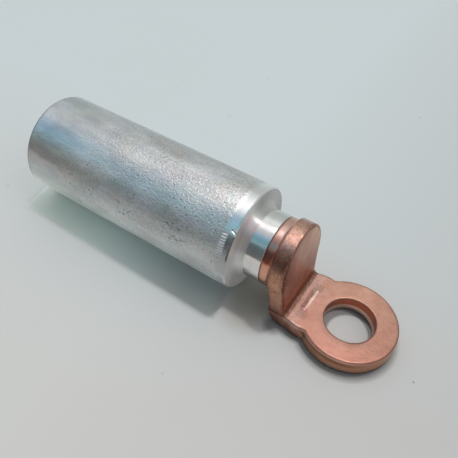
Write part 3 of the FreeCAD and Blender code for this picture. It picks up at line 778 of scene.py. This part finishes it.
def lathed(name, profile, slots, angles):
    """Mesh of the outline turned round the barrel's axis."""
    mesh = bmesh.new()
    rows = [lathe_row(mesh, x, r, angles) for x, r in profile]
    for first, second, slot in zip(rows, rows[1:], slots):
        for i in range(len(angles)):
            j = (i + 1) % len(angles)
            corners = [row[k % len(row)] for row, k in ((first, i), (first, j), (second, j), (second, i))]
            face = mesh.faces.new(list(dict.fromkeys(corners)))
            face.smooth = True
            face.material_index = slot
    bmesh.ops.recalc_face_normals(mesh, faces=mesh.faces)
    data = bpy.data.meshes.new(name)
    mesh.to_mesh(data)
    mesh.free()
    return data


def mark_stamps(data):
    """Attribute for the material that rises to 1 in the strokes and the nick."""
    depths = []
    for corner in data.vertices:
        x, y, z = corner.co / MM
        z -= AXIS_Z
        near_strokes = x > -43 and math.hypot(y, z) > 17.5
        depths.append(min(1.0, stamped(x, math.atan2(z, -y)) / 0.1) if near_strokes else 0.0)
    data.attributes.new("stamp", "FLOAT", "POINT").data.foreach_set("value", depths)


def add_object(name, data, materials):
    """New object of this mesh. Its faces keep the numbers of their materials."""
    made = bpy.data.objects.new(name, data)
    scene.collection.objects.link(made)
    for material in materials:
        data.materials.append(material)
    return made


def build_barrel():
    """Lathe mesh of the barrel, finer round the strokes."""
    near_strokes = np.arange(8, 54, 0.25)
    elsewhere = np.arange(54, 368, 1.6)
    angles = np.radians(np.concatenate([near_strokes, elsewhere]))
    profile, slots = barrel_profile()
    data = lathed("barrel_visual", profile, slots, angles)
    mark_stamps(data)
    return add_object("barrel_visual", data, (barrel_material(), turned_material(), faced_material()))


# Palm's shape

def remeshed(node, voxel):
    """Even fine mesh of a CAD node, in millimetres."""
    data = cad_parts[node].data.copy()
    data.transform(Matrix.Scale(1 / MM, 4))
    mesh = bmesh.new()
    mesh.from_mesh(data)
    bmesh.ops.remove_doubles(mesh, verts=mesh.verts, dist=0.001)
    mesh.to_mesh(data)
    mesh.free()
    coarse = bpy.data.objects.new(node + "_coarse", data)
    scene.collection.objects.link(coarse)
    modifier = coarse.modifiers.new("even", "REMESH")
    modifier.mode = "VOXEL"
    modifier.voxel_size = voxel
    modifier.use_smooth_shade = True
    bpy.context.view_layer.update()
    fine = bpy.data.meshes.new_from_object(coarse.evaluated_get(bpy.context.evaluated_depsgraph_get()))
    bpy.data.objects.remove(coarse)
    return fine


def vectors_of(collection, name):
    """One vector of each element of a mesh, as an array."""
    flat = np.zeros(len(collection) * 3, np.float32)
    collection.foreach_get(name, flat)
    return flat.reshape(-1, 3).astype(float)


def relaxed(mesh, values, rounds, strength=0.5):
    """Values at the corners, evened out over their neighbours."""
    pairs = np.zeros(len(mesh.edges) * 2, np.int32)
    mesh.edges.foreach_get("vertices", pairs)
    pairs = pairs.reshape(-1, 2)
    count = np.bincount(pairs.ravel(), minlength=len(values)).astype(float)
    values = values.copy()
    shape = (-1,) + (1,) * (values.ndim - 1)
    for _ in range(rounds):
        total = np.zeros_like(values)
        np.add.at(total, pairs[:, 0], values[pairs[:, 1]])
        np.add.at(total, pairs[:, 1], values[pairs[:, 0]])
        values += strength * (total / count.reshape(shape) - values)
    return values


def on_collar(place, end, radius):
    """Which places are on the turned collar."""
    return (place[:, 0] < end) & (np.hypot(place[:, 1], place[:, 2] - AXIS_Z) < radius)


def dented(place, normals, dent):
    """Places moved in and out a little, less on the collar, and kept inside the solid's box."""
    wave = np.array([noise.fractal(Vector(p * 0.16), 0.9, 2.1, 3) for p in place])
    amount = np.where(on_collar(place, COLLAR_END + 0.2, COLLAR_RADIUS + 0.6), 0.004, 0.03)
    place = place + normals * (amount * (wave - 0.6) + 0.4 * amount * (dent - 0.5))[:, None]
    low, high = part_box("copper_palm")
    return np.clip(place, np.array(low) / MM, np.array(high) / MM)


def raise_lip(place, edge, dent):
    """Lip across the strip, in a patch of the palm's top that is flat and has no dark edges."""
    lip = np.interp(place[:, 0], LIP_ACROSS, [0, LIP_HEIGHT, LIP_HEIGHT, 0])
    lip *= np.clip((LIP_REACH - np.abs(place[:, 1] - LIP_MIDDLE)) / LIP_RUN_OUT, 0, 1)
    patch = place[:, 2] > PALM_TOP - 0.4
    for axis, (middle, reach) in enumerate(LIP_PATCH):
        patch &= np.abs(place[:, axis] - middle) < reach
    place[patch, 2] = (PALM_TOP - 0.02 + lip * (0.85 + 0.3 * dent) + 0.012 * dent)[patch]
    edge[patch] = 0


def build_palm():
    """Even mesh of the palm with soft and dented edges, the lip, and its edges marked for the material."""
    data = remeshed("copper_palm", VOXEL)
    raw = vectors_of(data.vertices, "co")
    normals = vectors_of(data.vertex_normals, "vector")
    smooth = relaxed(data, raw, 6)
    moved = np.einsum("ij,ij->i", smooth - raw, normals)
    edge = relaxed(data, np.clip(-moved / 0.05, -1, 1), 7)
    dent = np.array([noise.noise(Vector(p * 0.55)) for p in smooth])
    place = dented(smooth, normals, dent)
    raise_lip(place, edge, dent)
    data.vertices.foreach_set("co", (place * MM).astype(np.float32).ravel())
    data.attributes.new("edge", "FLOAT", "POINT").data.foreach_set("value", edge.astype(np.float32))
    data.polygons.foreach_set("use_smooth", [True] * len(data.polygons))
    data.update()
    data.name = "palm_visual"
    data.materials.clear()
    made = add_object("palm_visual", data, (copper_material(), turned_copper_material()))
    collar = on_collar(vectors_of(data.polygons, "center") / MM, COLLAR_END, COLLAR_RADIUS)
    data.polygons.foreach_set("material_index", collar.astype(np.int32))
    return made


barrel = build_barrel()
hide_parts("aluminium_barrel")
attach(barrel, "root")

palm = build_palm()
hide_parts("copper_palm")
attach(palm, "root")


# Floor, light and camera

def paint_tone(g, at):
    """Tone that turns cooler and lighter towards the far left."""
    drift = g.noise(at.whole, 6, 3, 0.5)
    near = g.add(g.remap(at.y, 50.0, -70.0), g.math("SUBTRACT", drift, 0.5), 0.5)
    tone = g.blend(near, (0.64, 0.685, 0.685), (0.65, 0.635, 0.61))
    return g.tint(g.remap(at.x, -70.0, 40.0), tone, (0.875, 0.835, 0.82))


def shaded_tone(g, at, tone):
    """Painted light and shade in the barrel's shadow: paler at its rear end, darker towards the neck and
    under the head.
    """
    askew = g.math("MULTIPLY_ADD", g.math("ADD", at.y, 23.2), 0.146, at.x)
    in_shade = g.product(g.remap(at.y, -23.4, -22.2), g.remap(at.y, -5.0, -12.0),
                         g.within(askew, -128.4, -39.5, 1.4))
    along = g.ramp(g.remap(at.x, -130.0, -45.0), [
        (0.02, (1.42, 1.45, 1.34)), (0.12, (1.27, 1.32, 1.20)), (0.43, (1.20, 1.27, 1.17)),
        (0.65, (1.04, 1.08, 1.03)), (0.87, (0.84, 0.83, 0.79)), (1.0, (0.80, 0.80, 0.77))])
    tone = g.tint(in_shade, tone, along)
    under_head = g.remap(distance(g, at, -32.0, -10.0), 16.0, 3.0, smooth=True)
    return g.blend(g.product(under_head, 0.8), tone, (0.38, 0.315, 0.25))


def contact_tone(g, at, tone):
    """Painted contact shadow where the palm almost touches the floor, but not inside the stud hole."""
    below_eye = g.remap(distance(g, at, 0.0, -1.2), 18.6, 16.2)
    below_strip = g.product(g.within(at.y, -13.6, 12.0, 1.7), g.within(at.x, -22.5, -4.0, 3.0))
    outside_hole = g.remap(distance(g, at, 2.0, -1.1), 7.6, 8.5)
    contact = g.product(g.math("MAXIMUM", below_eye, below_strip), outside_hole)
    below_heel = g.remap(distance(g, at, -21.2, -12.8), 4.6, 2.0)
    return g.blend(g.product(g.math("MAXIMUM", contact, below_heel), 0.82), tone, (0.17, 0.155, 0.15))


def dust_tone(g, at, tone):
    """A few dark specks of dust."""
    sparse = g.remap(g.noise(at.whole, 60, 2, 0.5), 0.56, 0.62)
    dust = g.product(g.remap(g.cells(at.whole, 90), 0.055, 0.03), sparse)
    return g.blend(g.product(dust, 0.55), tone, (0.16, 0.17, 0.17))


def bench_material():
    material, g = new_material("bench_paint")
    at = place_of(g)
    tone = paint_tone(g, at)
    for paint in (shaded_tone, contact_tone, dust_tone):
        tone = paint(g, at, tone)
    close_material(g, {"Base Color": tone, "Roughness": 0.55, "Specular IOR Level": 0.25})
    return material


def add_panel(name, corners, material, seen=True):
    """Flat stage panel with these four corners, in metres. One that isn't seen only shows in the metal."""
    data = bpy.data.meshes.new(name)
    data.from_pydata(corners, [], [(0, 1, 2, 3)])
    made = add_object(name, data, (material,))
    made.visible_camera = seen
    made.visible_shadow = seen
    made.visible_diffuse = seen


def build_floor():
    """Pale bench top. It touches the barrel's rear edge and the heel of the bend."""
    heel = Vector((-17.9, 0, 0)) * MM
    rear_edge = Vector((-125.7, 0, 2.6)) * MM
    reach = 6000.0 * MM
    along = (heel - rear_edge).normalized() * reach
    across = Vector((0, reach, 0))
    corners = [tuple(heel + along * a + across * b) for a, b in ((-1, -1), (1, -1), (1, 1), (-1, 1))]
    add_panel("bench_top", corners, bench_material())


def build_flag():
    """Dark panel beside the bench, out of the camera's sight: the metal shows it as its dark band."""
    y, low, high = -200.0, -3.0, 180.0
    material, g = new_material("dark_panel")
    tone = g.ramp(g.remap(place_of(g).z, low, high), [
        (0.0, (0.20, 0.18, 0.17)), (0.12, (0.12, 0.12, 0.125)), (0.5, (0.095, 0.11, 0.12)),
        (0.78, (0.095, 0.13, 0.14)), (0.9, (0.12, 0.20, 0.23)), (1.0, (0.17, 0.32, 0.38))])
    glow(g, "ShaderNodeEmission", "ShaderNodeOutputMaterial", tone)
    corners = [(x * MM, y * MM, z * MM) for x, z in ((-450.0, low), (0.0, low), (0.0, high), (-450.0, high))]
    add_panel("dark_panel", corners, material, seen=False)


def build_world():
    """Soft room light, by the angle round the barrel's axis: blue windows, a bright ceiling, a pale wall."""
    world = bpy.data.worlds.new("room")
    scene.world = world
    world.use_nodes = True
    world.node_tree.nodes.clear()
    g = Graph(world.node_tree)
    direction = g.node("ShaderNodeTexCoord").outputs["Generated"]
    x, y, z = g.node("ShaderNodeSeparateXYZ", {"Vector": direction}).outputs
    turn = g.math("ARCTAN2", z, g.product(y, -1.0))
    tone = g.ramp(g.remap(turn, 0.0, math.pi), [(angle / 180, colour) for angle, colour in (
        (0, (0.46, 0.48, 0.47)), (36, (0.42, 0.46, 0.47)), (46, (0.26, 0.47, 0.56)), (57, (0.22, 0.46, 0.60)),
        (66, (0.36, 0.53, 0.68)), (75, (0.58, 0.62, 0.72)), (85, (0.85, 0.83, 0.85)),
        (95, (1.25, 1.19, 1.24)), (105, (1.12, 1.09, 1.12)), (115, (0.84, 0.83, 0.83)),
        (125, (0.78, 0.81, 0.80)), (135, (0.57, 0.61, 0.59)), (145, (0.48, 0.51, 0.50)),
        (155, (0.42, 0.46, 0.44)), (180, (0.41, 0.44, 0.42)))])
    toward_rear = g.remap(x, -0.75, -0.45, 0.45, 1.0)
    ceiling = g.product(g.remap(turn, 1.1, 1.4), g.remap(turn, 2.4, 2.1))
    tone = g.blend(ceiling, tone, g.blend(toward_rear, grey(0.0), tone))
    windows = g.within(turn, math.radians(40), math.radians(87), math.radians(7))
    tone = g.tint(g.product(windows, g.remap(x, -0.46, -0.34)), tone, (0.78, 0.78, 0.76))
    tone = g.blend(g.remap(z, 0.38, 0.48, smooth=True), (0.46, 0.485, 0.475), tone)
    glow(g, "ShaderNodeBackground", "ShaderNodeOutputWorld", tone)


def build_light():
    lamp = bpy.data.lights.new("key", "SUN")
    lamp.energy = 1.0
    lamp.angle = math.radians(6)
    lamp.color = (1.0, 0.99, 0.97)
    made = bpy.data.objects.new("key", lamp)
    made.rotation_mode = "QUATERNION"
    made.rotation_quaternion = Vector((0.11, 0.222, 1)).to_track_quat("Z", "Y")
    scene.collection.objects.link(made)


def build_camera():
    """At the photograph's place. The columns are the camera's own x, y and z."""
    data = bpy.data.cameras.new("camera")
    data.lens = 40.09
    data.sensor_width = 36
    data.clip_start = 0.005
    data.clip_end = 30
    made = bpy.data.objects.new("camera", data)
    scene.collection.objects.link(made)
    turn = Matrix(((0.8328, -0.4254, 0.3541), (0.5518, 0.5882, -0.5912), (0.0432, 0.6878, 0.7246)))
    made.rotation_mode = "QUATERNION"
    made.rotation_quaternion = turn.to_quaternion()
    made.location = (0.0136, -0.10356, 0.1463)
    scene.camera = made


build_floor()
build_flag()
build_world()
build_light()
build_camera()
scene.view_settings.view_transform = "Standard"
